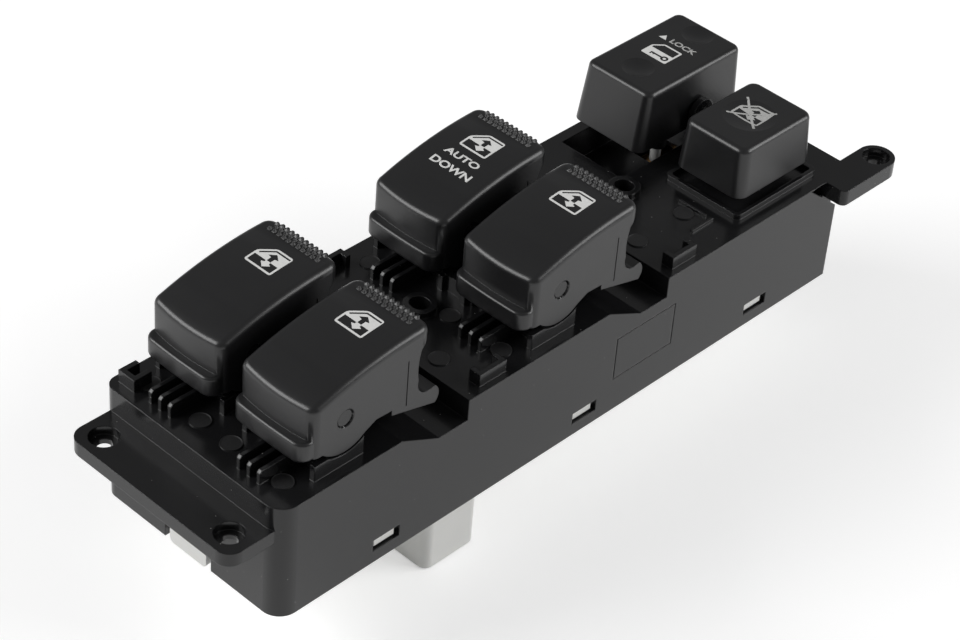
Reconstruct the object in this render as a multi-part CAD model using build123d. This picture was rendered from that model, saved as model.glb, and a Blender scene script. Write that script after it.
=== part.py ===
from build123d import *
import os
from math import cos, degrees, sin, sqrt

os.makedirs("parts", exist_ok=True)

# Driver's power window switch of a car door, out of its trim.
# X runs along the case from its near end wall, Y from its right-hand wall to its
# left-hand one, and Z up from the open underside, until save() moves the pieces to
# the frame of the flange's two screw holes.

# Case
case_length = 196.2
case_width = 60.0
case_height = 32.7
case_corner_r = 5.2
left_corner_r = 3.4
far_corner_r = 1.0
wall = 2.0
deck_thickness = 2.2
deck_overhang = 3.8
end_cut_height = 10.5
end_cut_length = 12.4

# Near flange and far ear, with counterbored screw holes
flange_top = 26.1
flange_thickness = 3.8
flange_reach = 13.0
flange_width = 55.0
flange_corner_r = 4.2
flange_hole_offset = 7.05
flange_hole_spacing = 42.6
screw_hole_r = 2.0
screw_seat_r = 3.7
screw_seat_depth = 2.4
ear_reach = 12.6
ear_root = 6.6
ear_hole_y = -1.2
ear_half_width = 5.0
ear_thickness = 4.5
ear_root_x = case_length - ear_root
ear_hole_x = case_length + ear_reach

# Window rockers: two pairs, each cap on a tower with two studs
first_pivot_x = 21.8
pair_spacing = 69.7
cap_side_margin = 3.1
cap_middle_gap = 5.8
cap_width = (case_width - 2 * cap_side_margin - cap_middle_gap) / 2
rocker_pitch = cap_width + cap_middle_gap
pivot_height = 13.5
cap_wall = 1.8
cap_front = 11.0
cap_back = 26.2
cap_bow = 1.1
cap_corner_r = 2.6
cap_rear_r = 3.0
cap_edge_r = 1.9
crown_height = 12.9
lip_reach = 2.2
lip_inset = 0.4
lip_bow = 0.4
lip_corner_r = 3.2
bump_pitch = 1.6
bump_row_pitch = 1.2
bump_count = 11
bump_rows = 4
bump_height = 0.85
stud_r = 2.2
stud_recess = 0.35
running_clearance = 0.08
side_clearance = 0.4
tower_front = 6.2
tower_back = 7.4
tower_wall = 1.4
tower_top = 4.3
cheek_arc_r = 9.6
saddle_arc_r = 10.4
saddle_top = 9.2
saddle_thickness = 1.6

# Channel in the deck for the foot at the back of each rocker
channel_start = 15.4
channel_slope_end = 27.4
channel_end = 36.8
channel_depth = 5.9
channel_margin = 1.5

# Finger, plunger and seesaw contact under each rocker
finger_r = 2.6
finger_bore_r = 1.5
plunger_clearance = 0.08
plunger_length = 9.0
plunger_gap = 0.3
finger_gap = 6.0
spring_wire_r = 0.22
spring_turns = 7
contact_thickness = 0.8
contact_half_length = 9.0
contact_width = 8.0
contact_travel_gap = 1.0
contact_height = 7.0
stud_offset = 7.6
fulcrum_gap = 0.1

# Lockout button and, to its left across the case, the door lock rocker
button_width = 20.2
button_side_margin = 6.4
button_y = button_side_margin + button_width / 2
far_controls_gap = 8.7
lock_side_margin = 2.8
lock_width = case_width - lock_side_margin - far_controls_gap - button_width - button_side_margin
lock_centre_y = case_width - lock_side_margin - lock_width / 2

# Door lock rocker
lock_end_margin = 19.4
lock_pivot_x = case_length - lock_end_margin
lock_pivot_height = 10.2
lock_front = 19.3
lock_back = 16.8
lock_top = 12.1
lock_skirt = 4.6
lock_flare_front = 2.6
lock_flare = 0.7
lock_stud_r = 1.7
lock_post_thickness = 1.7
lock_post_r = 3.9
dimple_r = 4.3
dimple_depth = 0.9
front_dimple = 7.7
back_dimple = 5.0
well_floor_gap = 4.2
well_margin = 4.4
well_skin = 1.5

# Lockout button
button_end_margin = 21.4
button_x = case_length - button_end_margin
button_length = 27.2
button_top = 18.8
button_skirt = 4.7
button_flare = 0.9
button_corner_r = 2.8
button_edge_r = 1.6
button_dish_r = 7.0
button_dish_depth = 0.7
button_travel = 2.5
stem_size = 8.4
stem_clearance = 0.3
collar_wall = 1.6
collar_height = 7.6
frame_margin = 1.3
frame_height = 1.5
frame_wall = 1.2
button_spring_r = 3.2
button_spring_wire_r = 0.4
button_spring_turns = 5

# Base cover, board and connector
cover_thickness = 1.8
cover_gap = 0.2
cover_rim = 1.4
cover_rim_height = 8.4
board_bottom = 10.4
board_thickness = 1.6
first_snap_x = 33.6
middle_snap_shift = 2.9
last_snap_margin = 30.2
snap_xs = (first_snap_x, case_length / 2 + middle_snap_shift, case_length - last_snap_margin)
snap_length = 8.6
snap_height = 3.4
snap_z = 5.2
latch_length = 6.4
latch_height = 2.2
end_notch_shift = 0.6
end_notch_y = case_width / 2 + end_notch_shift
end_notch_width = 15.8
end_notch_height = 7.5
end_tab_width = 12.6
connector_x = 60.6
connector_length = 17.4
connector_y = 17.0
connector_width = 26.0
connector_drop = 19.9
connector_wall = 1.5
connector_corner_r = 2.4
socket_floor = 4.5
terminal_size = 0.8
terminal_tip = 14.5
terminal_rows = 2
terminals_per_row = 7
terminal_pitch = 3.2
terminal_row_gap = 6.0

deck_top = case_height
pivot_z = deck_top + pivot_height
board_top = board_bottom + board_thickness
contact_bottom = board_top + contact_height
contact_top = contact_bottom + contact_thickness
button_spring_top = contact_top + well_floor_gap
well_depth = deck_top - button_spring_top
frame_origin = Location((flange_hole_offset, -case_width / 2, flange_thickness - flange_top))


def save(node, shape):
    """Writes one piece in the frame of the flange's screw holes."""
    export_step(frame_origin * shape, f"parts/{node}.step")


def block(x0, x1, y0, y1, z0, z1):
    """A box between two corners."""
    return Pos((x0 + x1) / 2, (y0 + y1) / 2, (z0 + z1) / 2) * Box(x1 - x0, y1 - y0, z1 - z0)


def rounded_block(x0, x1, y0, y1, z0, z1, radius):
    """A box with rounded upright corners."""
    outline = Pos((x0 + x1) / 2, (y0 + y1) / 2, z0) * RectangleRounded(x1 - x0, y1 - y0, radius)
    return extrude(outline, z1 - z0, dir=(0, 0, 1))


def upright(x, y, z0, z1, radius):
    """A vertical cylinder."""
    return Pos(x, y, (z0 + z1) / 2) * Cylinder(radius, z1 - z0)


def across(x, y0, y1, z, radius):
    """A cylinder along Y."""
    return Pos(x, (y0 + y1) / 2, z) * Rot(90, 0, 0) * Cylinder(radius, y1 - y0)


def side_prism(wire_edges, y0, y1):
    """A profile drawn in X and Z, extruded along Y."""
    face = make_face(Plane.XZ * wire_edges)
    return Pos(0, y0, 0) * extrude(face, y1 - y0, dir=(0, 1, 0))


def window_stations():
    """Name and pivot place of each window rocker."""
    right_y = cap_side_margin + cap_width / 2
    for row, x in (("near", first_pivot_x), ("far", first_pivot_x + pair_spacing)):
        yield f"{row}_right", x, right_y
        yield f"{row}_left", x, right_y + rocker_pitch


def screw_seat(x, y, top):
    """The hole and counterbore that a screw leaves in a flange or ear."""
    hole = upright(x, y, top - 2 * flange_thickness, top + 1, screw_hole_r)
    return hole + upright(x, y, top - screw_seat_depth, top + 1, screw_seat_r)


def rocker_profile():
    """Side view of a window cap about its pivot: crown, neck, foot and cheek."""
    arc_front_z = -6.9
    arc_front_x = -sqrt(cheek_arc_r ** 2 - arc_front_z ** 2)
    arc_back_x = 6.1
    arc_back_z = -sqrt(cheek_arc_r ** 2 - arc_back_x ** 2)
    front = Line((-13.0, arc_front_z), (-13.0, 6.0))
    crown = ThreePointArc((-13.0, 6.0), (4.5, 11.0), (cap_back, crown_height))
    back = Line((cap_back, crown_height), (cap_back, 10.2))
    shoulder = Line((cap_back, 10.2), (23.0, 7.2))
    neck = ThreePointArc((23.0, 7.2), (22.3, 3.2), (22.6, -1.6))
    pocket = ThreePointArc((22.6, -1.6), (23.4, -5.2), (25.9, -6.4))
    foot_top = Line((25.9, -6.4), (28.2, -6.0))
    foot_end = ThreePointArc((28.2, -6.0), (29.5, -8.2), (28.4, -11.2))
    foot_bottom = Polyline((28.4, -11.2), (14.5, -7.4), (14.5, -5.9), (9.6, -5.7), (arc_back_x, arc_back_z))
    cheek = ThreePointArc((arc_back_x, arc_back_z), (0, -cheek_arc_r), (arc_front_x, arc_front_z))
    chin = Line((arc_front_x, arc_front_z), (-13.0, arc_front_z))
    return front + crown + back + shoulder + neck + pocket + foot_top + foot_end + foot_bottom + cheek + chin


def bowed_plan(front_x, back_x, half, bow, corner_r, z):
    """Plan of a cap or its lip, bowed at the front with rounded front corners."""
    side_x = front_x + bow
    arc = ThreePointArc((side_x, half), (front_x, 0), (side_x, -half))
    rest = Polyline((side_x, -half), (back_x, -half), (back_x, half), (side_x, half))
    face = make_face(arc + rest)
    corners = face.vertices().sort_by(Axis.X)[0:2]
    return Pos(0, 0, z) * fillet(corners, corner_r)


def grip_bumps():
    """Staggered rows of small pyramids over the rear edge of a window cap."""
    base = 1.3
    tip = 0.15
    sunk = 0.2
    first_row_x = 22.5
    bend_x = cap_back - cap_edge_r
    bend_z = crown_height - cap_edge_r
    pyramid = loft([Pos(0, 0, -sunk) * Rectangle(base, base), Pos(0, 0, bump_height) * Rectangle(tip, tip)])
    bumps = []
    for row in range(bump_rows):
        along = first_row_x + row * bump_row_pitch - bend_x
        turn = max(along, 0) / cap_edge_r
        x = bend_x + min(along, 0) + cap_edge_r * sin(turn)
        z = bend_z + cap_edge_r * cos(turn)
        count = bump_count - row % 2
        for n in range(count):
            y = (n - (count - 1) / 2) * bump_pitch
            bumps.append(Pos(x, y, z) * Rot(0, degrees(turn), 0) * pyramid)
    return bumps


def window_cap():
    """One window rocker cap about its pivot, with its lip, cavity and finger."""
    half = cap_width / 2
    low = -14.0
    high = 15.0
    lip_low_z = -7.2
    lip_high = 5.6
    lip_top_r = 0.9
    lip_low_r = 1.0
    finger_root = 8.7
    bore_chamfer = 0.35
    slit_x = 19.0
    slit_width = 0.3
    slit_depth = 0.3
    column = extrude(bowed_plan(-cap_front, 31.0, half, cap_bow, cap_corner_r, low), high - low)
    outer = column & side_prism(rocker_profile(), -half, half)
    turn_x = cap_back - cap_rear_r
    turn_y = half - cap_rear_r
    corner = block(turn_x, cap_back + 1, turn_y, half + 1, 7.3, high)
    corner -= upright(turn_x, turn_y, 7.0, high + 1, cap_rear_r)
    outer -= corner
    outer -= mirror(corner, Plane.XZ)
    crown = outer.faces().filter_by(lambda f: f.center().Z > 8).sort_by(SortBy.AREA)[-1]
    outer = fillet(crown.edges(), cap_edge_r)
    lip_plan = bowed_plan(-cap_front - lip_reach, -4.0, half - lip_inset, lip_bow, lip_corner_r, lip_low_z)
    lip = extrude(lip_plan, lip_high)
    lip_top = lip.faces().sort_by(Axis.Z)[-1].edges().sort_by(Axis.X)[0:3]
    lip = fillet(lip_top, lip_top_r)
    lip_low = lip.faces().sort_by(Axis.Z)[0].edges().sort_by(Axis.X)[0:3]
    lip = fillet(lip_low, lip_low_r)
    cap = outer + lip
    inner = half - cap_wall
    roof = ThreePointArc((-8.4, 5.4), (5.2, 9.1), (20.6, 10.7))
    sides = Polyline((20.6, 10.7), (20.6, -4.2), (13.0, -4.2), (13.0, low), (-8.4, low), (-8.4, 5.4))
    cap -= side_prism(roof + sides, -inner, inner)
    bore_r = stud_r + running_clearance
    cap -= across(0, -half - 1, half + 1, 0, bore_r)
    flare = Pos(0, half - bore_chamfer / 2, 0) * Rot(90, 0, 0) * Cone(bore_r + bore_chamfer, bore_r, bore_chamfer)
    slit = block(slit_x - slit_width / 2, slit_x + slit_width / 2, half - slit_depth, half + 1, -7.0, 6.0)
    cap -= flare
    cap -= mirror(flare, Plane.XZ)
    cap -= slit
    cap -= mirror(slit, Plane.XZ)
    cap += grip_bumps()
    return cap + finger(pivot_z, finger_root)


def finger(pivot_level, root):
    """The hollow finger that hangs from a rocker and holds its plunger."""
    low = contact_top + finger_gap - pivot_level
    tube = upright(0, 0, low, root, finger_r)
    return tube - upright(0, 0, low - 1, 0, finger_bore_r)


def plunger(pivot_level):
    """Round-nosed plunger in the end of a finger."""
    radius = finger_bore_r - plunger_clearance
    low = contact_top + plunger_gap - pivot_level
    body = upright(0, 0, low, low + plunger_length, radius)
    return fillet(body.edges().sort_by(Axis.Z)[0:1], radius * 0.8)


def plunger_spring(pivot_level):
    """Coil spring between a finger's blind end and its plunger."""
    low = contact_top + plunger_gap - pivot_level + plunger_length
    return coil(low, 0, finger_bore_r - 0.25, spring_wire_r, spring_turns)


def coil(low, high, radius, wire_r, turns):
    """A coil spring on the Z axis."""
    height = high - low - 2 * wire_r
    path = Pos(0, 0, low + wire_r) * Helix(height / turns, height, radius - wire_r)
    section = Plane(origin=path @ 0, z_dir=path % 0) * Circle(wire_r)
    return sweep(section, path=path)


def seesaw_contact():
    """Contact strip with a pad under each end, about the line that it tilts on."""
    half = contact_width / 2
    pad_length = 2.2
    pad_height = 0.25
    strip = block(-contact_half_length, contact_half_length, -half, half, 0, contact_thickness)
    ends = block(-contact_half_length, -contact_half_length + pad_length, -half, half, -pad_height, 0)
    return strip + ends + mirror(ends, Plane.YZ)


def contact_studs_at(x, y):
    """The two fixed contacts under a seesaw contact."""
    top = contact_bottom - contact_travel_gap
    studs = [upright(x + side * stud_offset, y, board_top, top, 1.6) for side in (-1, 1)]
    return studs


def fulcrum_at(x, y):
    """Knife-edged post under the middle of a seesaw contact."""
    top = contact_bottom - fulcrum_gap
    profile = Polyline((x - 1.6, board_top), (x + 1.6, board_top), (x + 1.6, top - 2.0), (x, top),
                       (x - 1.6, top - 2.0), (x - 1.6, board_top))
    return side_prism(profile, y - contact_width / 2, y + contact_width / 2)


def tower(x, y):
    """Tower, studs and saddles that carry one window rocker on the deck."""
    half = cap_width / 2
    reach = half - cap_wall - side_clearance
    top = pivot_z + tower_top
    body = block(x - tower_front, x + tower_back, y - reach, y + reach, deck_top, top)
    body += across(x, y - half + stud_recess, y + half - stud_recess, pivot_z, stud_r)
    saddle_floor = -pivot_height
    crest = sqrt(saddle_arc_r ** 2 - saddle_top ** 2)
    back_x = 6.1
    back_z = -sqrt(saddle_arc_r ** 2 - back_x ** 2)
    arc = ThreePointArc((-crest, -saddle_top), (0, -saddle_arc_r), (back_x, back_z))
    rest = Polyline((back_x, back_z), (back_x, saddle_floor), (-8.9, saddle_floor), (-8.9, -saddle_top),
                    (-crest, -saddle_top))
    saddle = side_prism(arc + rest, 0, saddle_thickness)
    inner_y = half - cap_wall + 0.1
    body += Pos(x, y + inner_y, pivot_z) * saddle
    body += Pos(x, y - inner_y - saddle_thickness, pivot_z) * saddle
    return body


def tower_shaft(x, y):
    """The hollow of a tower, through the deck."""
    reach = cap_width / 2 - cap_wall - side_clearance - tower_wall
    return block(x - tower_front + tower_wall, x + tower_back - tower_wall, y - reach, y + reach,
                 deck_top - deck_thickness - 1, pivot_z + tower_top + 1)


def front_ribs(x, y):
    """Three stiffening ribs on the deck in front of a tower."""
    rib_pitch = 3.3
    rib_thickness = 1.1
    rib_height = 3.7
    front = x - 18.4
    ribs = None
    for n in (-1, 0, 1):
        mid = y - 0.7 + n * rib_pitch
        profile = Polyline((front, deck_top - 1), (front, deck_top + rib_height - 0.7),
                           (front + 0.7, deck_top + rib_height), (x - tower_front, deck_top + rib_height),
                           (x - tower_front, deck_top - 1), (front, deck_top - 1))
        rib = side_prism(profile, mid - rib_thickness / 2, mid + rib_thickness / 2)
        ribs = rib if ribs is None else ribs + rib
    return ribs


def channel_profile(x, inset):
    """Section of the deck channel, sunk by inset for its underside."""
    floor = deck_top - channel_depth - inset
    over = deck_top + 1 if inset == 0 else deck_top - deck_thickness / 2
    return Polyline((x + channel_start - inset, over), (x + channel_start - inset, deck_top - inset),
                    (x + channel_slope_end - inset / 2, floor), (x + channel_end + inset, floor),
                    (x + channel_end + inset, over), (x + channel_start - inset, over))


def channel_span(y):
    """Y range of the channel behind the rocker at y: from the side wall inwards."""
    inward = cap_width / 2 + channel_margin
    if y < case_width / 2:
        return 0.0, y + inward
    return y - inward, case_width


def deck_clip(length, arm):
    """Low C-shaped clip that stands on the deck, open towards +Y."""
    thick = 1.4
    high = 3.6
    clip = block(0, length, 0, thick, 0, high)
    clip += block(0, thick, 0, arm, 0, high)
    clip += block(length - thick, length, 0, arm, 0, high)
    return clip


def d_socket(x, y):
    """D-shaped locating socket with a raised rim, as rim and hole."""
    rim_height = 1.6
    pocket_depth = 6.2
    hole_depth = 5.0
    outline = RectangleRounded(8.0, 8.2, 3.6)
    rim = Pos(x, y, deck_top - pocket_depth) * extrude(outline, pocket_depth + rim_height)
    hole = Pos(x, y, deck_top - hole_depth) * extrude(RectangleRounded(4.8, 5.2, 2.3), hole_depth + rim_height + 1)
    return rim, hole


def snap_window(x):
    """Windows through both side walls for the latches of the base cover."""
    return block(x - snap_length / 2, x + snap_length / 2, -1, case_width + 1,
                 snap_z - snap_height / 2, snap_z + snap_height / 2)


def ear():
    """Screw ear at the far right corner, level with the deck."""
    low = deck_top - ear_thickness
    bar = block(ear_root_x, ear_hole_x, ear_hole_y - ear_half_width, ear_hole_y + ear_half_width, low, deck_top)
    bar = fillet(bar.edges().filter_by(Axis.Z).sort_by(Axis.X)[0:1], 1.8)
    return bar + upright(ear_hole_x, ear_hole_y, low, deck_top, ear_half_width)


def flange():
    """Near flange with two counterbored screw holes."""
    middle = case_width / 2
    low = flange_top - flange_thickness
    inner_x = 2 * flange_corner_r
    plate = rounded_block(-flange_reach, inner_x, middle - flange_width / 2, middle + flange_width / 2,
                          low, flange_top, flange_corner_r)
    return plate - block(wall, inner_x + 1, 0, case_width, 0, flange_top + 1)


def round_corner(shape, x, y, radius):
    """Rounds the upright edge of a box that is nearest a plan point."""
    edge = shape.edges().filter_by(Axis.Z).sort_by_distance((x, y, case_height / 2))[0]
    return fillet(edge, radius)


def case_shell():
    """Walls and deck of the case, open below, with the far end cut under the ear."""
    outer = block(0, case_length, 0, case_width, 0, case_height)
    outer = round_corner(outer, 0, 0, case_corner_r)
    outer = round_corner(outer, 0, case_width, left_corner_r)
    outer = round_corner(outer, case_length, 0, far_corner_r)
    outer = round_corner(outer, case_length, case_width, far_corner_r)
    lid = block(case_length - 2 * case_corner_r, case_length + deck_overhang, wall + 1, case_width - wall,
                deck_top - deck_thickness, deck_top)
    cut = Polyline((case_length - end_cut_length, deck_top - 0.3), (case_length + 1, deck_top - 0.3),
                   (case_length + 1, deck_top - end_cut_height), (case_length, deck_top - end_cut_height),
                   (case_length - end_cut_length, deck_top - 0.3))
    inner = rounded_block(wall, case_length - wall, wall, case_width - wall, -1,
                          deck_top - deck_thickness, case_corner_r - wall)
    return outer - side_prism(cut, -1, wall) - inner + lid


def upper_case():
    """The whole black moulding."""
    case = case_shell()
    case += flange()
    case += ear()
    for name, x, y in window_stations():
        y0, y1 = channel_span(y)
        skin = 1.6
        sheath_y0 = max(y0 - skin, wall / 2)
        sheath_y1 = min(y1 + skin, case_width - wall / 2)
        case += side_prism(channel_profile(x, skin), sheath_y0, sheath_y1)
        case -= side_prism(channel_profile(x, 0), y0 - (1 if y0 == 0 else 0), y1 + (1 if y0 > 0 else 0))
        case += tower(x, y)
        case += front_ribs(x, y)
        case -= tower_shaft(x, y)
    case = add_far_controls(case)
    case = add_deck_details(case)
    middle = case_width / 2
    for side in (-1, 1):
        case -= screw_seat(-flange_hole_offset, middle + side * flange_hole_spacing / 2, flange_top)
    case -= screw_seat(ear_hole_x, ear_hole_y, deck_top)
    for x in snap_xs:
        case -= snap_window(x)
    case -= block(-1, wall + 1, end_notch_y - end_notch_width / 2, end_notch_y + end_notch_width / 2,
                  -1, end_notch_height)
    return case


def lock_well():
    """Plan limits of the well under the door lock rocker."""
    reach = lock_width / 2 - 0.5
    return (lock_pivot_x - lock_front - lock_flare_front - well_margin, lock_pivot_x + lock_back + lock_flare,
            lock_centre_y - reach, lock_centre_y + reach)


def add_far_controls(case):
    """Wells, posts, collar and frame of the lock rocker and lockout button."""
    x0, x1, y0, y1 = lock_well()
    floor = deck_top - well_depth
    case += block(x0 - well_skin, x1 + well_skin, y0 - well_skin, y1 + well_skin,
                  floor - well_skin, deck_top - 0.5)
    case -= block(x0, x1, y0, y1, floor, deck_top + 1)
    shaft_x = finger_r + 3.0
    shaft_y = finger_r + 1.4
    case -= block(lock_pivot_x - shaft_x, lock_pivot_x + shaft_x, lock_centre_y - shaft_y,
                  lock_centre_y + shaft_y, floor - 2 * well_skin, floor + 1)
    pivot = deck_top + lock_pivot_height
    reach = lock_width / 2 + lock_flare + side_clearance
    for side in (-1, 1):
        inner = lock_centre_y + side * reach
        outer = inner + side * lock_post_thickness
        low_y = min(inner, outer)
        high_y = max(inner, outer)
        post = block(lock_pivot_x - lock_post_r, lock_pivot_x + lock_post_r, low_y, high_y, deck_top - 1, pivot)
        post += across(lock_pivot_x, low_y, high_y, pivot, lock_post_r)
        case += post - across(lock_pivot_x, low_y - 1, high_y + 1, pivot, lock_stud_r + running_clearance)
    half_l = button_length / 2 + button_flare + frame_margin
    half_w = button_width / 2 + button_flare + frame_margin
    rim = rounded_block(button_x - half_l, button_x + half_l, button_y - half_w, button_y + half_w,
                        deck_top - 1, deck_top + frame_height, 1.5)
    rim -= rounded_block(button_x - half_l + frame_wall, button_x + half_l - frame_wall,
                         button_y - half_w + frame_wall, button_y + half_w - frame_wall,
                         deck_top - 2, deck_top + frame_height + 1, 0.8)
    case += rim
    hole = stem_size / 2 + stem_clearance
    outside = hole + collar_wall
    case += block(button_x - outside, button_x + outside, button_y - outside, button_y + outside,
                  deck_top - well_depth, deck_top + collar_height)
    case -= block(button_x - hole, button_x + hole, button_y - hole, button_y + hole,
                  deck_top - well_depth - 1, deck_top + collar_height + 1)
    return case


def add_deck_details(case):
    """Clips, sockets, cross walls, discs and ribs on the deck, and a mark on the side wall."""
    near_x = first_pivot_x
    far_x = first_pivot_x + pair_spacing
    middle = case_width / 2
    near_clip_x = near_x + 42.0
    far_clip_x = far_x + 40.0
    end_clip_x = 3.0
    clip_edge = 1.9
    clip_sunk = 0.2
    side_clip = deck_clip(8.9, 3.5)
    for x in (near_clip_x, far_clip_x):
        case += Pos(x, clip_edge, deck_top - clip_sunk) * side_clip
    left_clip = mirror(side_clip, Plane.XZ)
    case += Pos(near_clip_x, case_width - clip_edge, deck_top - clip_sunk) * left_clip
    end_clip = Rot(0, 0, -90) * deck_clip(5.6, 5.2)
    case += Pos(end_clip_x, case_width - clip_edge, deck_top - clip_sunk) * end_clip
    near_socket_x = near_x + 52.2
    far_socket_x = far_x + 55.5
    socket_y = middle + 1.9
    for x in (near_socket_x, far_socket_x):
        rim, hole = d_socket(x, socket_y)
        case += rim
        case -= hole
    cross_wall = 1.5
    cross_wall_rise = 4.5
    left_tower_y = middle + cap_middle_gap / 2 + cap_wall + side_clearance
    right_tower_y = middle - cap_middle_gap / 2 - cap_wall - side_clearance
    for x, y in ((near_x, left_tower_y - 1.2), (far_x, right_tower_y - 0.9)):
        case += block(x - tower_front - cross_wall, x - tower_front + 0.5, y, left_tower_y + 1.0,
                      deck_top - 1, deck_top + cross_wall_rise)
    disc_r = 2.6
    disc_rise = 0.25
    near_discs = [(near_x - 14.0, middle + shift) for shift in (-5.1, 5.3, 22.7)]
    far_discs = [(far_x - 14.2, middle + shift) for shift in (-22.0, -5.1, 22.4)]
    rear_discs = [(x + 42.2, middle - 14.7) for x in (near_x, far_x)]
    for x, y in near_discs + far_discs + rear_discs:
        case += upright(x, y, deck_top - 1, deck_top + disc_rise, disc_r)
    rib_rise = 0.9
    rib_half = 0.4
    rib_x = button_x - 20.7
    rib_y = button_y - 7.8
    case += block(rib_x - rib_half, rib_x + rib_half, rib_y + 1.8, rib_y + 10.7, deck_top - 1, deck_top + rib_rise)
    case += block(rib_x - 7.7, rib_x + rib_half, rib_y - rib_half, rib_y + rib_half,
                  deck_top - 1, deck_top + rib_rise)
    panel_x0 = 110.7
    panel_x1 = 132.4
    panel_z0 = 10.1
    panel_z1 = deck_top - 9.7
    groove = 0.35
    mark = block(panel_x0, panel_x1, -1, groove, panel_z0, panel_z1)
    mark -= block(panel_x0 + groove, panel_x1 - groove, -2, groove + 1, panel_z0 + groove, panel_z1 - groove)
    return case - mark


def base_cover():
    """Off-white cover in the underside, with rim, latches, tab and board posts."""
    gap = wall + cover_gap
    radius = case_corner_r - wall - cover_gap
    cover = rounded_block(gap, case_length - gap, gap, case_width - gap, 0, cover_rim_height, radius)
    inset = gap + cover_rim
    cover -= rounded_block(inset, case_length - inset, inset, case_width - inset, cover_thickness,
                           cover_rim_height + 1, radius - cover_rim + 0.3)
    for x in snap_xs:
        for y0, y1 in ((wall * 0.4, gap + 1), (case_width - gap - 1, case_width - wall * 0.4)):
            cover += block(x - latch_length / 2, x + latch_length / 2, y0, y1,
                           snap_z - latch_height / 2, snap_z + latch_height / 2)
    tab = block(0, gap + 1, end_notch_y - end_tab_width / 2, end_notch_y + end_tab_width / 2, -0.4, 5.6)
    tab = fillet(tab.edges().filter_by(Axis.X).sort_by(Axis.Z)[0:2], 1.4)
    cover += tab
    post_r = 2.4
    post_edge = 9.0
    far_posts = 4
    first_post = 12.0
    next_post = connector_x - 16.6
    post_start = connector_x + 23.4
    post_pitch = (case_length - 10.2 - post_start) / (far_posts - 1)
    for x in [first_post, next_post] + [post_start + n * post_pitch for n in range(far_posts)]:
        for y in (post_edge, case_width - post_edge):
            cover += upright(x, y, cover_thickness / 2, board_bottom, post_r)
    half_l = connector_length / 2 + cover_gap
    half_w = connector_width / 2 + cover_gap
    cover -= rounded_block(connector_x - half_l, connector_x + half_l, connector_y - half_w,
                           connector_y + half_w, -1, cover_thickness + 1, connector_corner_r + cover_gap)
    return cover


def circuit_board():
    """Board with holes for the terminals."""
    margin = wall + 1.0
    board = rounded_block(margin, case_length - margin, margin, case_width - margin,
                          board_bottom, board_top, 2.0)
    for x, y in terminal_places():
        board -= upright(x, y, board_bottom - 1, board_top + 1, terminal_size * 0.75)
    return board


def terminal_places():
    """Plan place of each terminal."""
    for row in range(terminal_rows):
        x = connector_x + (row - (terminal_rows - 1) / 2) * terminal_row_gap
        for n in range(terminals_per_row):
            yield x, connector_y + (n - (terminals_per_row - 1) / 2) * terminal_pitch


def connector_terminals():
    """Square terminals from the board down into the socket."""
    half = terminal_size / 2
    return [block(x - half, x + half, y - half, y + half, -terminal_tip, board_top + 0.8)
            for x, y in terminal_places()]


def main_connector():
    """Off-white connector shell, its socket open downwards."""
    half_l = connector_length / 2
    half_w = connector_width / 2
    shell = rounded_block(connector_x - half_l, connector_x + half_l, connector_y - half_w,
                          connector_y + half_w, -connector_drop, board_bottom, connector_corner_r)
    shell -= rounded_block(connector_x - half_l + connector_wall, connector_x + half_l - connector_wall,
                           connector_y - half_w + connector_wall, connector_y + half_w - connector_wall,
                           -connector_drop - 1, -socket_floor, connector_corner_r - connector_wall)
    for x, y in terminal_places():
        half = terminal_size / 2
        shell -= block(x - half, x + half, y - half, y + half, -socket_floor - 1, board_bottom + 1)
    return shell


def door_lock_cap():
    """Door lock rocker cap about its pivot, with flared skirt, dimples and studs."""
    top_plan = Pos((lock_back - lock_front) / 2, 0, lock_top) * RectangleRounded(
        lock_front + lock_back, lock_width, 2.4)
    skirt_length = lock_front + lock_back + lock_flare_front + lock_flare
    skirt_mid = (lock_back + lock_flare - lock_front - lock_flare_front) / 2
    skirt_plan = Pos(skirt_mid, 0, -lock_skirt) * RectangleRounded(skirt_length, lock_width + 2 * lock_flare, 2.8)
    cap = loft([skirt_plan, top_plan])
    cap = fillet(cap.faces().sort_by(Axis.Z)[-1].edges(), 1.5)
    ball_r = (dimple_r ** 2 + dimple_depth ** 2) / (2 * dimple_depth)
    for x in (-lock_front + front_dimple, lock_back - back_dimple):
        cap -= Pos(x, 0, lock_top + ball_r - dimple_depth) * Sphere(ball_r)
    shell = cap_wall
    cap -= block(-lock_front + shell, lock_back - shell, -lock_width / 2 + shell, lock_width / 2 - shell,
                 -lock_skirt - 1, lock_top - shell - dimple_depth)
    inner = lock_width / 2 - shell
    outer = lock_width / 2 + lock_flare + side_clearance + lock_post_thickness
    for side in (-1, 1):
        cap += across(0, min(side * inner, side * outer), max(side * inner, side * outer), 0, lock_stud_r)
    return cap + finger(deck_top + lock_pivot_height, lock_top - shell)


def lockout_cap():
    """Square push button with a dished top and the stem that slides in the collar."""
    top_plan = Pos(0, 0, button_top) * RectangleRounded(button_length, button_width, button_corner_r)
    skirt_plan = Pos(0, 0, button_skirt) * RectangleRounded(
        button_length + 2 * button_flare, button_width + 2 * button_flare, button_corner_r + 0.4)
    cap = loft([skirt_plan, top_plan])
    cap = fillet(cap.faces().sort_by(Axis.Z)[-1].edges(), button_edge_r)
    ball_r = (button_dish_r ** 2 + button_dish_depth ** 2) / (2 * button_dish_depth)
    cap -= Pos(0, 0, button_top + ball_r - button_dish_depth) * Sphere(ball_r)
    half_l = button_length / 2 - cap_wall
    half_w = button_width / 2 - cap_wall
    roof = button_top - cap_wall - button_dish_depth
    cap -= block(-half_l, half_l, -half_w, half_w, button_skirt - 1, roof)
    half = stem_size / 2
    return cap + block(-half, half, -half, half, -well_depth, roof + 0.5)


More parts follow.
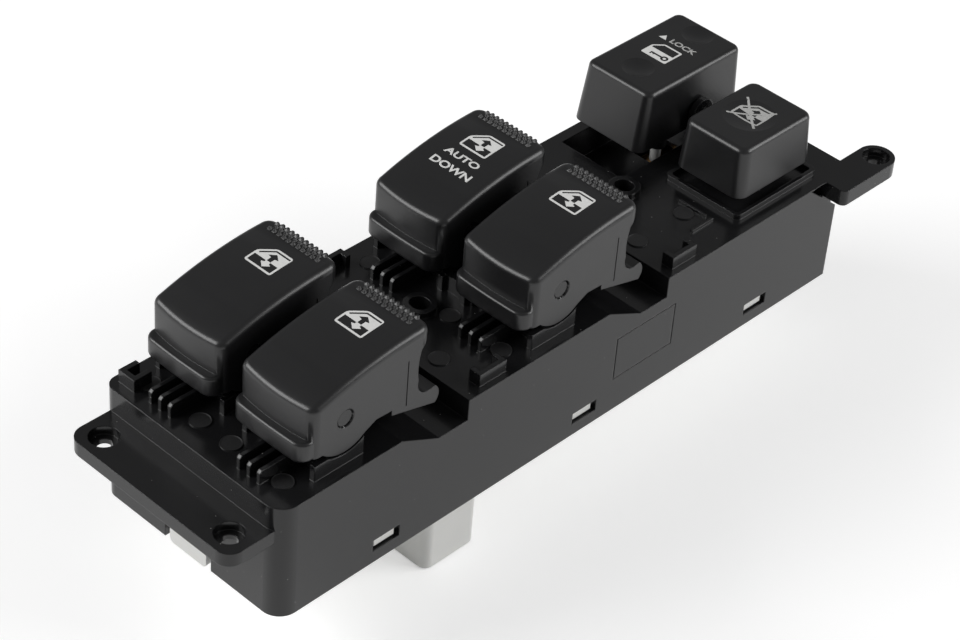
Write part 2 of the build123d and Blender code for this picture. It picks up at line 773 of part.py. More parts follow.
def lockout_spring():
    """Return spring between the board and the lockout stem."""
    return Pos(button_x, button_y, 0) * coil(board_top, button_spring_top, button_spring_r,
                                             button_spring_wire_r, button_spring_turns)


def lockout_bridge():
    """Contact strip on the side of the lockout stem's end."""
    half = stem_size / 2
    z0 = button_spring_top - 1.2
    return block(button_x - half, button_x + half, button_y - 1.5 - half, button_y + half, z0, z0 + 1.2) \
        - upright(button_x, button_y, z0 - 1, z0 + 3, button_spring_r + 0.4)


save("upper_case", upper_case())
save("base_cover", base_cover())
save("circuit_board", circuit_board())
save("main_connector", main_connector())
save("connector_terminals", Compound(connector_terminals()))

cap_solid = window_cap()
stations = [(f"{name}_rocker", x, y, pivot_z, cap_solid) for name, x, y in window_stations()]
stations.append(("door_lock_rocker", lock_pivot_x, lock_centre_y, deck_top + lock_pivot_height, door_lock_cap()))
studs = []
fulcrums = []
for node, x, y, level, cap in stations:
    stem = node.replace("_rocker", "")
    place = Pos(x, y, level)
    save(node, place * cap)
    save(f"{stem}_plunger", place * plunger(level))
    save(f"{stem}_plunger_spring", place * plunger_spring(level))
    save(f"{stem}_seesaw_contact", Pos(x, y, contact_bottom) * seesaw_contact())
    studs += contact_studs_at(x, y)
    fulcrums.append(fulcrum_at(x, y))
save("contact_studs", Compound(studs))
save("contact_fulcrums", Compound(fulcrums))
save("lockout_button", Pos(button_x, button_y, deck_top) * lockout_cap())
save("lockout_spring", lockout_spring())
save("lockout_bridge", lockout_bridge())
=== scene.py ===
import math

import bpy
from mathutils import Matrix, Vector


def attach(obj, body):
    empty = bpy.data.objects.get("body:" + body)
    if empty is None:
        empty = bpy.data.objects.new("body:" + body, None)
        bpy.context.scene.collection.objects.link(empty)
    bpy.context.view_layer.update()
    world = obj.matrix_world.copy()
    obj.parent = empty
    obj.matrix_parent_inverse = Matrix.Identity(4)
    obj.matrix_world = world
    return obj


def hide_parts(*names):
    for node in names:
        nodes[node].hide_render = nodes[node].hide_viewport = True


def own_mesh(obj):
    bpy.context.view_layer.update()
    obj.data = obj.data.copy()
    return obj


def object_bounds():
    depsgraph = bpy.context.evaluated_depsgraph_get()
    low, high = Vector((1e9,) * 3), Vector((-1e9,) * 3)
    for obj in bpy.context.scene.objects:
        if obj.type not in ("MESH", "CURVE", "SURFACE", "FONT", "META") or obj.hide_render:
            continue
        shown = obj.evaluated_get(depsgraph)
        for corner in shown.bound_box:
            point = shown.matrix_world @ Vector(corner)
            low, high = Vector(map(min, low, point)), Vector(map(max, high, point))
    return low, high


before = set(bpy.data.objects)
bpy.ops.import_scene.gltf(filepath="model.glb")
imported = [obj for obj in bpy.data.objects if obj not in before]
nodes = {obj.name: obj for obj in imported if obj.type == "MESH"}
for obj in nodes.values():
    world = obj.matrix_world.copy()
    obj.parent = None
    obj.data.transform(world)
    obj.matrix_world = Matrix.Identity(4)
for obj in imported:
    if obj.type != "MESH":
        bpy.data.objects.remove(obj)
cad_low, cad_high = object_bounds()
mm = 0.001

# Upper case
# The black moulding that carries every control: deck, towers, clips, flange and ear in
# one piece of glass-filled nylon 66, injection moulded in a polished steel tool.


def linear(hex_colour):
    """An sRGB hex colour as linear red, green, blue and alpha."""
    values = [int(hex_colour[i:i + 2], 16) / 255 for i in (1, 3, 5)]
    return [v / 12.92 if v <= 0.04045 else ((v + 0.055) / 1.055) ** 2.4 for v in values] + [1.0]


def add_node(tree, kind, settings=None, **links):
    """Adds a node, sets its properties and sockets, and joins its named inputs."""
    node = tree.nodes.new(kind)
    for name, value in (settings or {}).items():
        if hasattr(node, name):
            setattr(node, name, value)
        else:
            node.inputs[name].default_value = value
    for name, source in links.items():
        tree.links.new(source, node.inputs[name.replace("_", " ")])
    return node


def new_material(name, colour, roughness, **sockets):
    """A named material with its mean colour and roughness, and its other plain values."""
    material = bpy.data.materials.new(name)
    material.use_nodes = True
    shader = material.node_tree.nodes["Principled BSDF"]
    shader.inputs["Base Color"].default_value = linear(colour)
    shader.inputs["Roughness"].default_value = roughness
    for socket, value in sockets.items():
        shader.inputs[socket.replace("_", " ")].default_value = value
    return material, material.node_tree, shader


def feed(tree, shader, **sources):
    """Joins node outputs to the shader's named sockets."""
    for socket, source in sources.items():
        tree.links.new(source, shader.inputs[socket.replace("_", " ")])


def finish_nodes(material, *names):
    """Gives CAD nodes their finish."""
    for name in names:
        nodes[name].data.materials.clear()
        nodes[name].data.materials.append(material)


# Moulded nylon: a deep black skin that mirrors what stands on it, with faint flow
# mottling, edges that the tool leaves 0.4 mm round, and specks of dust.
dust_cell = 3 * mm
speck_r = 0.108 * mm
housing, tree, shader = new_material("moulded black nylon", "#19191a", 0.2, IOR=1.53, Specular_IOR_Level=0.38)
place = add_node(tree, "ShaderNodeTexCoord").outputs["Object"]
flow = add_node(tree, "ShaderNodeTexNoise", {"Scale": 1 / (9 * mm), "Detail": 3.0}, Vector=place)
grain = add_node(tree, "ShaderNodeTexNoise", {"Scale": 1 / (0.7 * mm), "Detail": 2.0}, Vector=place)
gloss = add_node(tree, "ShaderNodeMapRange", {"To Min": 0.13, "To Max": 0.27}, Value=flow.outputs["Fac"])
dust = add_node(tree, "ShaderNodeTexVoronoi", {"Scale": 1 / dust_cell}, Vector=place)
speck = add_node(tree, "ShaderNodeMath", {"operation": "LESS_THAN"})
tree.links.new(dust.outputs["Distance"], speck.inputs[0])
speck.inputs[1].default_value = speck_r / dust_cell
skin = add_node(tree, "ShaderNodeMixRGB", {"Color1": linear("#171718"), "Color2": linear("#1d1d1e")},
                Fac=flow.outputs["Fac"])
dusty = add_node(tree, "ShaderNodeMixRGB", {"Color2": linear("#8f8f8c")},
                 Fac=speck.outputs["Value"], Color1=skin.outputs["Color"])
edge = add_node(tree, "ShaderNodeBevel", {"samples": 6, "Radius": 0.4 * mm})
ripple = add_node(tree, "ShaderNodeBump", {"Strength": 0.12, "Distance": 0.05 * mm},
                  Height=grain.outputs["Fac"], Normal=edge.outputs["Normal"])
feed(tree, shader, Base_Color=dusty.outputs["Color"], Roughness=gloss.outputs["Result"],
     Normal=ripple.outputs["Normal"])
finish_nodes(housing, "upper_case")

# Ejector marks
# The round prints that the tool's ejector pins leave on the deck when they push the
# case out: a stippled face inside a fine ring, moulded with the case.

# Stippled nylon: the pins' ends aren't polished, so the same black is stippled and dull, and its scattered
# sheen is painted in as a lighter grey.
stippled_painted_sheen, tree, shader = new_material("stippled black nylon with painted sheen", "#222223", 0.5, IOR=1.53)
place = add_node(tree, "ShaderNodeTexCoord").outputs["Object"]
pits = add_node(tree, "ShaderNodeTexNoise", {"Scale": 1 / (0.4 * mm), "Detail": 3.0}, Vector=place)
# Painted shade and highlight: the noise that raises the stipple also darkens its pits and lightens its tops.
tone = add_node(tree, "ShaderNodeMixRGB", {"Color1": linear("#18181a"), "Color2": linear("#2c2c2c")},
                Fac=pits.outputs["Fac"])
dimple = add_node(tree, "ShaderNodeBump", {"Strength": 0.5, "Distance": 0.05 * mm},
                  Height=pits.outputs["Fac"])
feed(tree, shader, Base_Color=tone.outputs["Color"], Normal=dimple.outputs["Normal"])

# Each mark starts just over the deck. Eight of the ten close over a plain disc of the
# solid, and the first and the last stand where it has none.
mark_r = 2.62 * mm
mark_low = 10.41 * mm
mark_high = 10.74 * mm
mark_sides = 48
ring_top = 0.16 * mm
ring_slope = 0.1 * mm
ring_rise = 0.07 * mm
mark_places = [(14.85, -22.1), (14.85, -5.1), (14.85, 5.3), (14.85, 22.7), (84.35, -22.0), (84.35, -5.1),
               (84.35, 22.4), (71.05, -14.7), (140.75, -14.7), (158.1, -14.7)]
bpy.ops.object.select_all(action="DESELECT")
bpy.ops.mesh.primitive_cylinder_add(vertices=mark_sides, radius=mark_r, depth=mark_high - mark_low,
                                    location=(0, 0, (mark_low + mark_high) / 2))
bpy.ops.object.transform_apply()
pin_mark = bpy.context.object
bpy.ops.object.mode_set(mode="EDIT")
bpy.ops.mesh.select_mode(type="FACE")
bpy.ops.mesh.select_all(action="DESELECT")
bpy.ops.object.mode_set(mode="OBJECT")
facing_up = 0.9
for face in pin_mark.data.polygons:
    face.select = face.normal.z > facing_up
bpy.ops.object.mode_set(mode="EDIT")
bpy.ops.mesh.inset(thickness=ring_top)
bpy.ops.mesh.inset(thickness=ring_slope)
bpy.ops.transform.translate(value=(0, 0, -ring_rise))
bpy.ops.object.mode_set(mode="OBJECT")
pin_mark.data.materials.append(stippled_painted_sheen)
for n, (x, y) in enumerate(mark_places):
    mark = pin_mark.copy()
    mark.data = pin_mark.data.copy()
    mark.data.transform(Matrix.Translation((x * mm, y * mm, 0)))
    mark.name = f"ejector_mark_{n + 1}"
    bpy.context.scene.collection.objects.link(mark)
    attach(mark, "case")
bpy.data.objects.remove(pin_mark)

# Base cover and connector
# The cover that snaps into the underside and the shell that takes the door's plug,
# both moulded in natural nylon with no dye.

# Natural nylon: an off-white that lets a little light in, with a soft moulded sheen.
natural, tree, shader = new_material("natural nylon", "#e2e2df", 0.4, IOR=1.53, Subsurface_Weight=0.08,
                                     Subsurface_Radius=(1.0 * mm, 0.8 * mm, 0.6 * mm))
place = add_node(tree, "ShaderNodeTexCoord").outputs["Object"]
cloud = add_node(tree, "ShaderNodeTexNoise", {"Scale": 1 / (14 * mm), "Detail": 2.0}, Vector=place)
grain = add_node(tree, "ShaderNodeTexNoise", {"Scale": 1 / (0.5 * mm), "Detail": 2.0}, Vector=place)
tone = add_node(tree, "ShaderNodeMixRGB", {"Color1": linear("#dededb"), "Color2": linear("#e8e8e5")},
                Fac=cloud.outputs["Fac"])
gloss = add_node(tree, "ShaderNodeMapRange", {"To Min": 0.34, "To Max": 0.48}, Value=cloud.outputs["Fac"])
edge = add_node(tree, "ShaderNodeBevel", {"samples": 6, "Radius": 0.2 * mm})
ripple = add_node(tree, "ShaderNodeBump", {"Strength": 0.15, "Distance": 0.04 * mm},
                  Height=grain.outputs["Fac"], Normal=edge.outputs["Normal"])
feed(tree, shader, Base_Color=tone.outputs["Color"], Roughness=gloss.outputs["Result"],
     Normal=ripple.outputs["Normal"])
finish_nodes(natural, "base_cover", "main_connector")

# Circuit board
# The board under the deck that carries the fixed contacts and the connector's pins:
# glass-epoxy laminate, 1.6 mm thick, cut by a router and coated green.

# Coated laminate: a green lacquer over a glass weave, one thread each half millimetre.
# At a scale of 1 a wave texture repeats every pi / 10 m.
thread_pitch = 0.5 * mm
weave_scale = math.pi / 10 / thread_pitch
laminate, tree, shader = new_material("coated glass laminate", "#1f5a34", 0.3, Coat_Weight=0.5,
                                      Coat_Roughness=0.15)
place = add_node(tree, "ShaderNodeTexCoord").outputs["Object"]
warp = add_node(tree, "ShaderNodeTexWave", {"bands_direction": "X", "Scale": weave_scale}, Vector=place)
weft = add_node(tree, "ShaderNodeTexWave", {"bands_direction": "Y", "Scale": weave_scale}, Vector=place)
weave = add_node(tree, "ShaderNodeMath", {"operation": "MAXIMUM"})
tree.links.new(warp.outputs["Fac"], weave.inputs[0])
tree.links.new(weft.outputs["Fac"], weave.inputs[1])
lacquer = add_node(tree, "ShaderNodeMixRGB", {"Color1": linear("#1a4f2d"), "Color2": linear("#27683d")},
                   Fac=weave.outputs["Value"])
ripple = add_node(tree, "ShaderNodeBump", {"Strength": 0.2, "Distance": 0.02 * mm},
                  Height=weave.outputs["Value"])
feed(tree, shader, Base_Color=lacquer.outputs["Color"], Normal=ripple.outputs["Normal"])
finish_nodes(laminate, "circuit_board")

# Connector terminals
# The square pins that the door's plug slides over: brass wire, drawn, cut, tin plated
# and soldered to the board.

# Tin plate: a soft grey-white metal with faint drawing lines along the pin.
tin, tree, shader = new_material("tin plate", "#c6c6c2", 0.35, Metallic=1.0)
place = add_node(tree, "ShaderNodeTexCoord").outputs["Object"]
stretch = add_node(tree, "ShaderNodeMapping", {"Scale": (1.0, 1.0, 0.05)}, Vector=place)
lines = add_node(tree, "ShaderNodeTexNoise", {"Scale": 1 / (0.1 * mm), "Detail": 2.0},
                 Vector=stretch.outputs["Vector"])
gloss = add_node(tree, "ShaderNodeMapRange", {"To Min": 0.25, "To Max": 0.45}, Value=lines.outputs["Fac"])
feed(tree, shader, Roughness=gloss.outputs["Result"])
finish_nodes(tin, "connector_terminals")

# Contacts
# The fixed studs and knife-edged posts on the board, the seesaw strip that each
# plunger tips, and the lockout button's bridge, all stamped from phosphor bronze.

# Phosphor bronze strip: a pale gold metal, bright, with rolling lines along it.
bronze, tree, shader = new_material("phosphor bronze strip", "#c39a66", 0.28, Metallic=1.0)
place = add_node(tree, "ShaderNodeTexCoord").outputs["Object"]
stretch = add_node(tree, "ShaderNodeMapping", {"Scale": (0.04, 1.0, 1.0)}, Vector=place)
lines = add_node(tree, "ShaderNodeTexNoise", {"Scale": 1 / (0.15 * mm), "Detail": 3.0},
                 Vector=stretch.outputs["Vector"])
gloss = add_node(tree, "ShaderNodeMapRange", {"To Min": 0.2, "To Max": 0.42}, Value=lines.outputs["Fac"])
tone = add_node(tree, "ShaderNodeMixRGB", {"Color1": linear("#b98f5b"), "Color2": linear("#cba473")},
                Fac=lines.outputs["Fac"])
feed(tree, shader, Base_Color=tone.outputs["Color"], Roughness=gloss.outputs["Result"])
rocker_names = ["near_right", "near_left", "far_right", "far_left", "door_lock"]
finish_nodes(bronze, "contact_studs", "contact_fulcrums", "lockout_bridge",
             *[f"{name}_seesaw_contact" for name in rocker_names])

# Springs
# The coil in each plunger's bore and the larger one under the lockout button's stem,
# wound from hard-drawn wire.

# Spring wire: a cool grey metal with a dull drawn surface.
wire, tree, shader = new_material("hard-drawn spring wire", "#9a9b9d", 0.35, Metallic=1.0)
place = add_node(tree, "ShaderNodeTexCoord").outputs["Object"]
drawn = add_node(tree, "ShaderNodeTexNoise", {"Scale": 1 / (0.08 * mm), "Detail": 2.0}, Vector=place)
gloss = add_node(tree, "ShaderNodeMapRange", {"To Min": 0.28, "To Max": 0.5}, Value=drawn.outputs["Fac"])
feed(tree, shader, Roughness=gloss.outputs["Result"])
finish_nodes(wire, "lockout_spring", *[f"{name}_plunger_spring" for name in rocker_names])

# The button's spring stands on the board and shortens as the button goes down. Here it is only given a mesh
# of its own.
button_spring = nodes["lockout_spring"]
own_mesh(button_spring)

# Plungers
# The round-nosed pins that slide in the rockers' fingers and wipe along the contacts,
# moulded in acetal for its low friction.

# Acetal: a cool milky white with a waxy sheen.
acetal, tree, shader = new_material("white acetal", "#e4e5e3", 0.3, IOR=1.48, Subsurface_Weight=0.1,
                                    Subsurface_Radius=(0.8 * mm, 0.8 * mm, 0.8 * mm))
place = add_node(tree, "ShaderNodeTexCoord").outputs["Object"]
wax = add_node(tree, "ShaderNodeTexNoise", {"Scale": 1 / (0.6 * mm), "Detail": 2.0}, Vector=place)
gloss = add_node(tree, "ShaderNodeMapRange", {"To Min": 0.22, "To Max": 0.38}, Value=wax.outputs["Fac"])
feed(tree, shader, Roughness=gloss.outputs["Result"])
finish_nodes(acetal, *[f"{name}_plunger" for name in rocker_names])

# Window rocker caps, lock rocker cap and lockout button
# The parts that fingers touch, moulded in black ABS in a tool with a fine
# spark-eroded texture, which keeps off shine and finger marks.

# Textured ABS: a matte charcoal black with a broad soft highlight along each rounded
# edge. The real grain of about 0.1 mm is drawn at 0.3 mm so that it shows.
textured, tree, shader = new_material("textured black ABS", "#1c1c1d", 0.42, IOR=1.54)
place = add_node(tree, "ShaderNodeTexCoord").outputs["Object"]
cloud = add_node(tree, "ShaderNodeTexNoise", {"Scale": 1 / (12 * mm), "Detail": 3.0}, Vector=place)
spark = add_node(tree, "ShaderNodeTexNoise", {"Scale": 1 / (0.3 * mm), "Detail": 3.0, "Roughness": 0.6},
                 Vector=place)
tone = add_node(tree, "ShaderNodeMixRGB", {"Color1": linear("#19191a"), "Color2": linear("#202021")},
                Fac=cloud.outputs["Fac"])
gloss = add_node(tree, "ShaderNodeMapRange", {"To Min": 0.27, "To Max": 0.39}, Value=spark.outputs["Fac"])
edge = add_node(tree, "ShaderNodeBevel", {"samples": 6, "Radius": 0.25 * mm})
texture = add_node(tree, "ShaderNodeBump", {"Strength": 0.3, "Distance": 0.03 * mm},
                   Height=spark.outputs["Fac"], Normal=edge.outputs["Normal"])
feed(tree, shader, Base_Color=tone.outputs["Color"], Roughness=gloss.outputs["Result"],
     Normal=texture.outputs["Normal"])
finish_nodes(textured, "lockout_button", *[f"{name}_rocker" for name in rocker_names])

# Window cap grip
# Rows of small pyramids over the rear edge of each window cap, moulded with it, that
# give a fingertip its hold. They stand 0.65 mm proud, a little less than the solid's.
window_pivots = {"near_right": (28.85, -14.9), "near_left": (28.85, 14.9),
                 "far_right": (98.55, -14.9), "far_left": (98.55, 14.9)}

# The rear edge is a round of bend_r about an axis that lies bend_x behind the pivot.
bend_x = 24.3 * mm
bend_z = 34.9 * mm
bend_r = 1.9 * mm
grip_start = 21 * mm
grip_drop = 1 * mm
tallest_crown = 0.7 * mm
grip_height = 0.65 * mm
weld = 0.001 * mm
caps = {}
for name, (x, y) in window_pivots.items():
    cap = nodes[f"{name}_rocker"].copy()
    cap.data = cap.data.copy()
    cap.name = f"{name}_cap"
    bpy.context.scene.collection.objects.link(cap)
    bpy.ops.object.select_all(action="DESELECT")
    cap.select_set(True)
    bpy.context.view_layer.objects.active = cap
    bpy.ops.object.mode_set(mode="EDIT")
    bpy.ops.mesh.select_all(action="SELECT")
    bpy.ops.mesh.remove_doubles(threshold=weld)
    bpy.ops.object.mode_set(mode="OBJECT")
    for vertex in cap.data.vertices:
        axis = Vector((min(vertex.co.x, x * mm + bend_x), vertex.co.y, bend_z))
        out = vertex.co - axis
        on_grip = vertex.co.x > x * mm + grip_start and out.z > -grip_drop
        if on_grip and out.length > bend_r + tallest_crown:
            vertex.co = axis + out.normalized() * (bend_r + grip_height)
    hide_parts(f"{name}_rocker")
    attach(cap, f"{name}_rocker_body")
    caps[name] = cap

# Printed window symbols
# A door window with an arrow up and an arrow down, pad printed in white on the crown
# of each window cap. The film follows the crown and is a few hundredths thick.

# Pad-printing ink: an even matte white film, a little thin where it went on lightly.
ink, tree, shader = new_material("white pad-printing ink", "#e9e9e7", 0.5)
place = add_node(tree, "ShaderNodeTexCoord").outputs["Object"]
thin = add_node(tree, "ShaderNodeTexNoise", {"Scale": 1 / (0.8 * mm), "Detail": 3.0}, Vector=place)
film = add_node(tree, "ShaderNodeMixRGB", {"Color1": linear("#dcdcda"), "Color2": linear("#f2f2f0")},
                Fac=thin.outputs["Fac"])
feed(tree, shader, Base_Color=film.outputs["Color"])


def rounded(corners, radius):
    """A closed outline in mm with its corners rounded."""
    steps = 4
    points = []
    for n, corner in enumerate(corners):
        here = Vector(corner)
        start = here + (Vector(corners[n - 1]) - here).normalized() * radius
        end = here + (Vector(corners[(n + 1) % len(corners)]) - here).normalized() * radius
        for step in range(steps + 1):
            t = step / steps
            points.append(start * (1 - t) ** 2 + here * 2 * t * (1 - t) + end * t * t)
    return points


def flat_artwork(name, outlines, centre):
    """A flat mesh filled between closed outlines in mm about a point of the frame."""
    curve = bpy.data.curves.new(name, "CURVE")
    curve.dimensions = "2D"
    curve.fill_mode = "BOTH"
    for outline in outlines:
        spline = curve.splines.new("POLY")
        spline.points.add(len(outline) - 1)
        for point, (x, y) in zip(spline.points, outline):
            point.co = (x * mm, y * mm, 0, 1)
        spline.use_cyclic_u = True
    art = bpy.data.objects.new(name, curve)
    bpy.context.scene.collection.objects.link(art)
    bpy.ops.object.select_all(action="DESELECT")
    art.select_set(True)
    bpy.context.view_layer.objects.active = art
    bpy.ops.object.convert(target="MESH")
    art.location = centre
    bpy.ops.object.transform_apply()
    return art


def printed_words(name, words, baseline, cap_height, left, right, centre):
    """A flat mesh of a word in mm that reads along -Y, with its top towards +X."""
    bolder = 0.03
    bpy.ops.object.select_all(action="DESELECT")
    bpy.ops.object.text_add(location=(0, 0, 0))
    art = bpy.context.object
    art.name = name
    art.data.name = name
    art.data.body = words
    art.data.offset = bolder
    bpy.ops.object.convert(target="MESH")
    xs = [v.co.x for v in art.data.vertices]
    ys = [v.co.y for v in art.data.vertices]
    art.scale = ((left - right) * mm / (max(xs) - min(xs)), cap_height * mm / (max(ys) - min(ys)), 1)
    art.rotation_euler = (0, 0, -math.pi / 2)
    start = Vector((baseline * mm - min(ys) * art.scale.y, left * mm + min(xs) * art.scale.x, 0))
    art.location = centre + start
    bpy.ops.object.transform_apply()
    return art


def press_film(art, cap, body, finish):
    """Cuts flat artwork into strips, lays it on a cap and gives it the film's thickness."""
    strip = 1.0 * mm
    lift = 0.03 * mm
    film_thickness = 0.04 * mm
    bpy.ops.object.select_all(action="DESELECT")
    art.select_set(True)
    bpy.context.view_layer.objects.active = art
    corners = [Vector(corner) for corner in art.bound_box]
    bpy.ops.object.mode_set(mode="EDIT")
    for axis in (0, 1):
        low = min(corner[axis] for corner in corners)
        high = max(corner[axis] for corner in corners)
        across = (1, 0, 0) if axis == 0 else (0, 1, 0)
        for n in range(1, int((high - low) / strip) + 1):
            cut = Vector((0, 0, 0))
            cut[axis] = low + n * strip
            bpy.ops.mesh.select_all(action="SELECT")
            bpy.ops.mesh.bisect(plane_co=cut, plane_no=across)
    bpy.ops.mesh.select_all(action="SELECT")
    bpy.ops.mesh.remove_doubles(threshold=weld)
    bpy.ops.object.mode_set(mode="OBJECT")
    press = art.modifiers.new("press", "SHRINKWRAP")
    press.target = cap
    press.wrap_method = "PROJECT"
    press.wrap_mode = "ABOVE_SURFACE"
    press.use_project_z = True
    press.use_negative_direction = True
    press.use_positive_direction = False
    press.offset = lift
    bpy.ops.object.modifier_apply(modifier="press")
    build_up = art.modifiers.new("build_up", "SOLIDIFY")
    build_up.thickness = film_thickness
    build_up.offset = -1
    bpy.ops.object.modifier_apply(modifier="build_up")
    bpy.ops.object.mode_set(mode="EDIT")
    bpy.ops.mesh.select_all(action="SELECT")
    bpy.ops.mesh.normals_make_consistent(inside=False)
    bpy.ops.object.mode_set(mode="OBJECT")
    art.data.materials.append(finish)
    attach(art, body)


# The artwork starts flat, well over the part, and is pressed straight down. Outlines
# are in mm from the pivot: X towards the ear, Y to the left.
art_height = cad_high.z + 20 * mm
symbol_edge = rounded([(11.1, 4.35), (15.3, 4.35), (18.65, 0.85), (18.65, -4.35), (11.1, -4.35)], 0.7)
lower_pane = [(11.65, 3.8), (14.15, 3.8), (14.15, 0.1), (13.6, 0.1), (13.3, 0.95), (12.05, -0.65),
              (13.3, -2.2), (13.6, -1.4), (14.15, -1.4), (14.15, -3.8), (11.65, -3.8)]
upper_arrow = [(14.25, 0.02), (15.6, 0.02), (15.85, 1.15), (17.1, -0.5), (15.85, -2.2), (15.6, -1.25),
               (14.25, -1.25)]
glass_line = [(15.25, 3.6), (18.1, 0.62), (18.1, -4.0), (17.6, -4.0), (17.6, 0.42), (14.9, 3.25)]
window_symbol = [symbol_edge, lower_pane, upper_arrow, glass_line]
for name, (x, y) in window_pivots.items():
    centre = Vector((x * mm, y * mm, art_height))
    symbol = flat_artwork(f"{name}_window_symbol", window_symbol, centre)
    press_film(symbol, caps[name], f"{name}_rocker_body", ink)

# One-touch wording
# The far left cap also has a one-touch detent, so it says AUTO and DOWN in front of
# its symbol, in the same print.
x, y = window_pivots["far_left"]
centre = Vector((x * mm, y * mm, art_height))
wording = [("AUTO", 6.9, 2.1, 5.4, -5.6), ("DOWN", 2.55, 2.3, 5.9, -6.9)]
for words, baseline, cap_height, left, right in wording:
    art = printed_words(f"{words.lower()}_wording", words, baseline, cap_height, left, right, centre)
    press_film(art, caps["far_left"], "far_left_rocker_body", ink)

# Door lock print
# The word LOCK with a pointer towards the dimple that locks, and a car door with a
# key, pad printed between the two dimples of the lock cap.

# Greyer ink: the same ink in a lighter grey, used on the small LOCK word and in the button's dish.
greyer_ink, tree, shader = new_material("greyer pad-printing ink", "#b5b5b3", 0.5)
place = add_node(tree, "ShaderNodeTexCoord").outputs["Object"]
thin = add_node(tree, "ShaderNodeTexNoise", {"Scale": 1 / (0.5 * mm), "Detail": 3.0}, Vector=place)
film = add_node(tree, "ShaderNodeMixRGB", {"Color1": linear("#9c9c9a"), "Color2": linear("#cfcfcd")},
                Fac=thin.outputs["Fac"])
feed(tree, shader, Base_Color=film.outputs["Color"])


def arc(centre_x, centre_y, radius, first_angle, last_angle, steps):
    """Points in mm along an arc whose angles are in degrees."""
    angles = [math.radians(first_angle + n * (last_angle - first_angle) / steps) for n in range(steps + 1)]
    return [(centre_x + radius * math.cos(a), centre_y + radius * math.sin(a)) for a in angles]


centre = Vector((183.85 * mm, 15.2 * mm, art_height))
art = printed_words("lock_wording", "LOCK", baseline=3.35, cap_height=2.0, left=3.8, right=-4.5,
                    centre=centre)
press_film(art, nodes["door_lock_rocker"], "door_lock_rocker_body", greyer_ink)
pointer = flat_artwork("lock_pointer", [[(3.4, 7.3), (5.3, 6.1), (3.4, 4.9)]], centre)
press_film(pointer, nodes["door_lock_rocker"], "door_lock_rocker_body", ink)
door_edge = rounded([(-5.35, -2.4), (1.7, -2.4), (1.7, 3.5), (-0.85, 5.8), (-5.35, 5.8)], 0.5)
door_window = [(-1.6, -1.85), (1.2, -1.85), (1.2, 3.25), (-0.95, 5.25), (-1.6, 5.25)]

# The key's ring is left open where its shaft begins. The shaft has two bits, and its X
# is counted from the ring's middle.
key_ring_x = -3.55
key_ring_y = -0.75
shaft = [(0.33, 3.8), (-0.9, 3.8), (-0.9, 3.35), (-0.33, 3.35), (-0.33, 2.9), (-0.7, 2.9), (-0.7, 2.5),
         (-0.33, 2.5)]
ring = arc(key_ring_x, key_ring_y, radius=1.1, first_angle=107, last_angle=433, steps=16)
key = ring + [(key_ring_x + x, y) for x, y in shaft]
key_eye = arc(key_ring_x, key_ring_y, radius=0.45, first_angle=0, last_angle=330, steps=11)
door = flat_artwork("lock_door_symbol", [door_edge, door_window, key, key_eye], centre)
press_film(door, nodes["door_lock_rocker"], "door_lock_rocker_body", ink)

# Lockout print
# A window with an arrow, crossed out by two thin strokes, in the dished top of the
# lockout button. The print looks greyer there than on the rockers.


def stroke(start, end, width):
    """The outline in mm of a straight stroke of the pen."""
    start = Vector(start)
    end = Vector(end)
    along = (end - start).normalized()
    side = Vector((-along.y, along.x)) * width / 2
    return [start + side, end + side, end - side, start - side]


centre = Vector((180.85 * mm, -14.1 * mm, art_height))
symbol_shift = Vector((-12.1, 1.0))
crossed_window = [[Vector(point) + symbol_shift for point in outline] for outline in window_symbol]
artwork = {"lockout_window_symbol": crossed_window,
           "lockout_cross_left": [stroke((-1.98, 5.84), (6.79, -3.67), width=0.55)],
           "lockout_cross_right": [stroke((7.0, 6.25), (-2.48, -3.75), width=0.65)]}
for name, outlines in artwork.items():
    art = flat_artwork(name, outlines, centre)
    press_film(art, nodes["lockout_button"], "lockout_button_body", greyer_ink)

# Floor and room
# A pale floor that shows white to the camera and in reflections and keeps the
# object's shadow, in a room that is white to the camera and dim to the object.
floor_size = 6.0
floor_gap = 0.5 * mm
floor_glow = 0.4
room_level = 0.22
case_middle = Vector((0.1, 0, 0))
bpy.ops.object.select_all(action="DESELECT")
bpy.ops.mesh.primitive_plane_add(size=floor_size, location=(case_middle.x, 0, cad_low.z - floor_gap))
floor = bpy.context.object
floor.name = "floor"

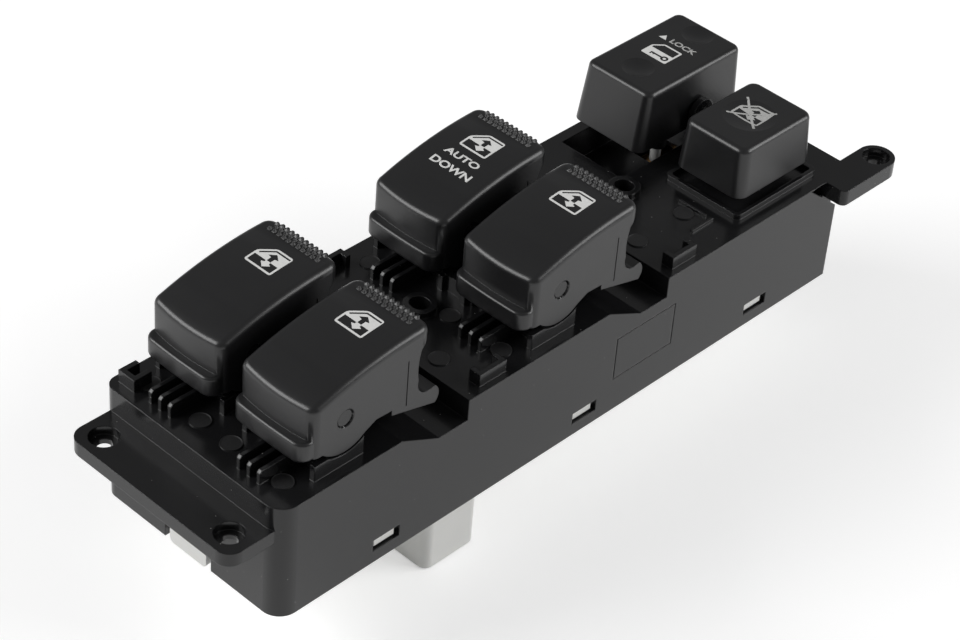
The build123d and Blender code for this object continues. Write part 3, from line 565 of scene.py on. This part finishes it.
# White paper: matte, with a glow that only the camera, mirrors and clear parts see, so
# that it reads as white without lighting the case.
paper, tree, shader = new_material("white paper", "#f4f4f4", 0.9)
ray = add_node(tree, "ShaderNodeLightPath")
seen = add_node(tree, "ShaderNodeMath", {"operation": "MAXIMUM"})
tree.links.new(ray.outputs["Is Camera Ray"], seen.inputs[0])
tree.links.new(ray.outputs["Is Glossy Ray"], seen.inputs[1])
seen_through = add_node(tree, "ShaderNodeMath", {"operation": "MAXIMUM"})
tree.links.new(seen.outputs["Value"], seen_through.inputs[0])
tree.links.new(ray.outputs["Is Transmission Ray"], seen_through.inputs[1])
glow = add_node(tree, "ShaderNodeMath", {"operation": "MULTIPLY"})
tree.links.new(seen_through.outputs["Value"], glow.inputs[0])
glow.inputs[1].default_value = floor_glow
shader.inputs["Emission Color"].default_value = (1, 1, 1, 1)
feed(tree, shader, Emission_Strength=glow.outputs["Value"])
floor.data.materials.append(paper)

world = bpy.data.worlds.new("world")
bpy.context.scene.world = world
world.use_nodes = True
backdrop = world.node_tree.nodes["Background"]
backdrop.inputs["Color"].default_value = (1, 1, 1, 1)
ray = add_node(world.node_tree, "ShaderNodeLightPath")
level = add_node(world.node_tree, "ShaderNodeMapRange", {"To Min": room_level, "To Max": 1.0},
                 Value=ray.outputs["Is Camera Ray"])
feed(world.node_tree, backdrop, Strength=level.outputs["Result"])

# Soft boxes
# One lamp behind a diffuser on each side of the camera's view. The black plastic shows
# them as broad soft highlights on its rounded edges and crowns.


def soft_box(name, place, power):
    """An area lamp of 0.9 by 0.6 m that faces the middle of the case."""
    data = bpy.data.lights.new(name, "AREA")
    data.shape = "RECTANGLE"
    data.size = 0.9
    data.size_y = 0.6
    data.energy = power
    lamp = bpy.data.objects.new(name, data)
    bpy.context.scene.collection.objects.link(lamp)
    lamp.location = place
    lamp.rotation_euler = (case_middle - Vector(place)).to_track_quat("-Z", "Y").to_euler()


soft_box("left_lamp", place=(-0.75, 0.71, 0.68), power=11.0)
soft_box("right_lamp", place=(0.89, -0.85, 0.59), power=9.0)

# Camera
# It stands where the photograph was taken from. Its place, its turn and its lens come
# from one fit to the case's corners, screw holes and rocker edges.
camera_place = (-0.304058, -0.356718, 0.427682)
camera_right = Vector((0.69745, -0.71369, 0.06489))
camera_up = Vector((0.41139, 0.47288, 0.77919))
camera_data = bpy.data.cameras.new("camera")
camera_data.sensor_width = 36.0
camera_data.lens = 105.54
camera_data.clip_start = 0.01
camera = bpy.data.objects.new("camera", camera_data)
bpy.context.scene.collection.objects.link(camera)
turn = Matrix((camera_right, camera_up, camera_right.cross(camera_up))).transposed()
camera.matrix_world = Matrix.Translation(camera_place) @ turn.to_4x4()
bpy.context.scene.camera = camera
bpy.context.scene.view_settings.view_transform = "Standard"
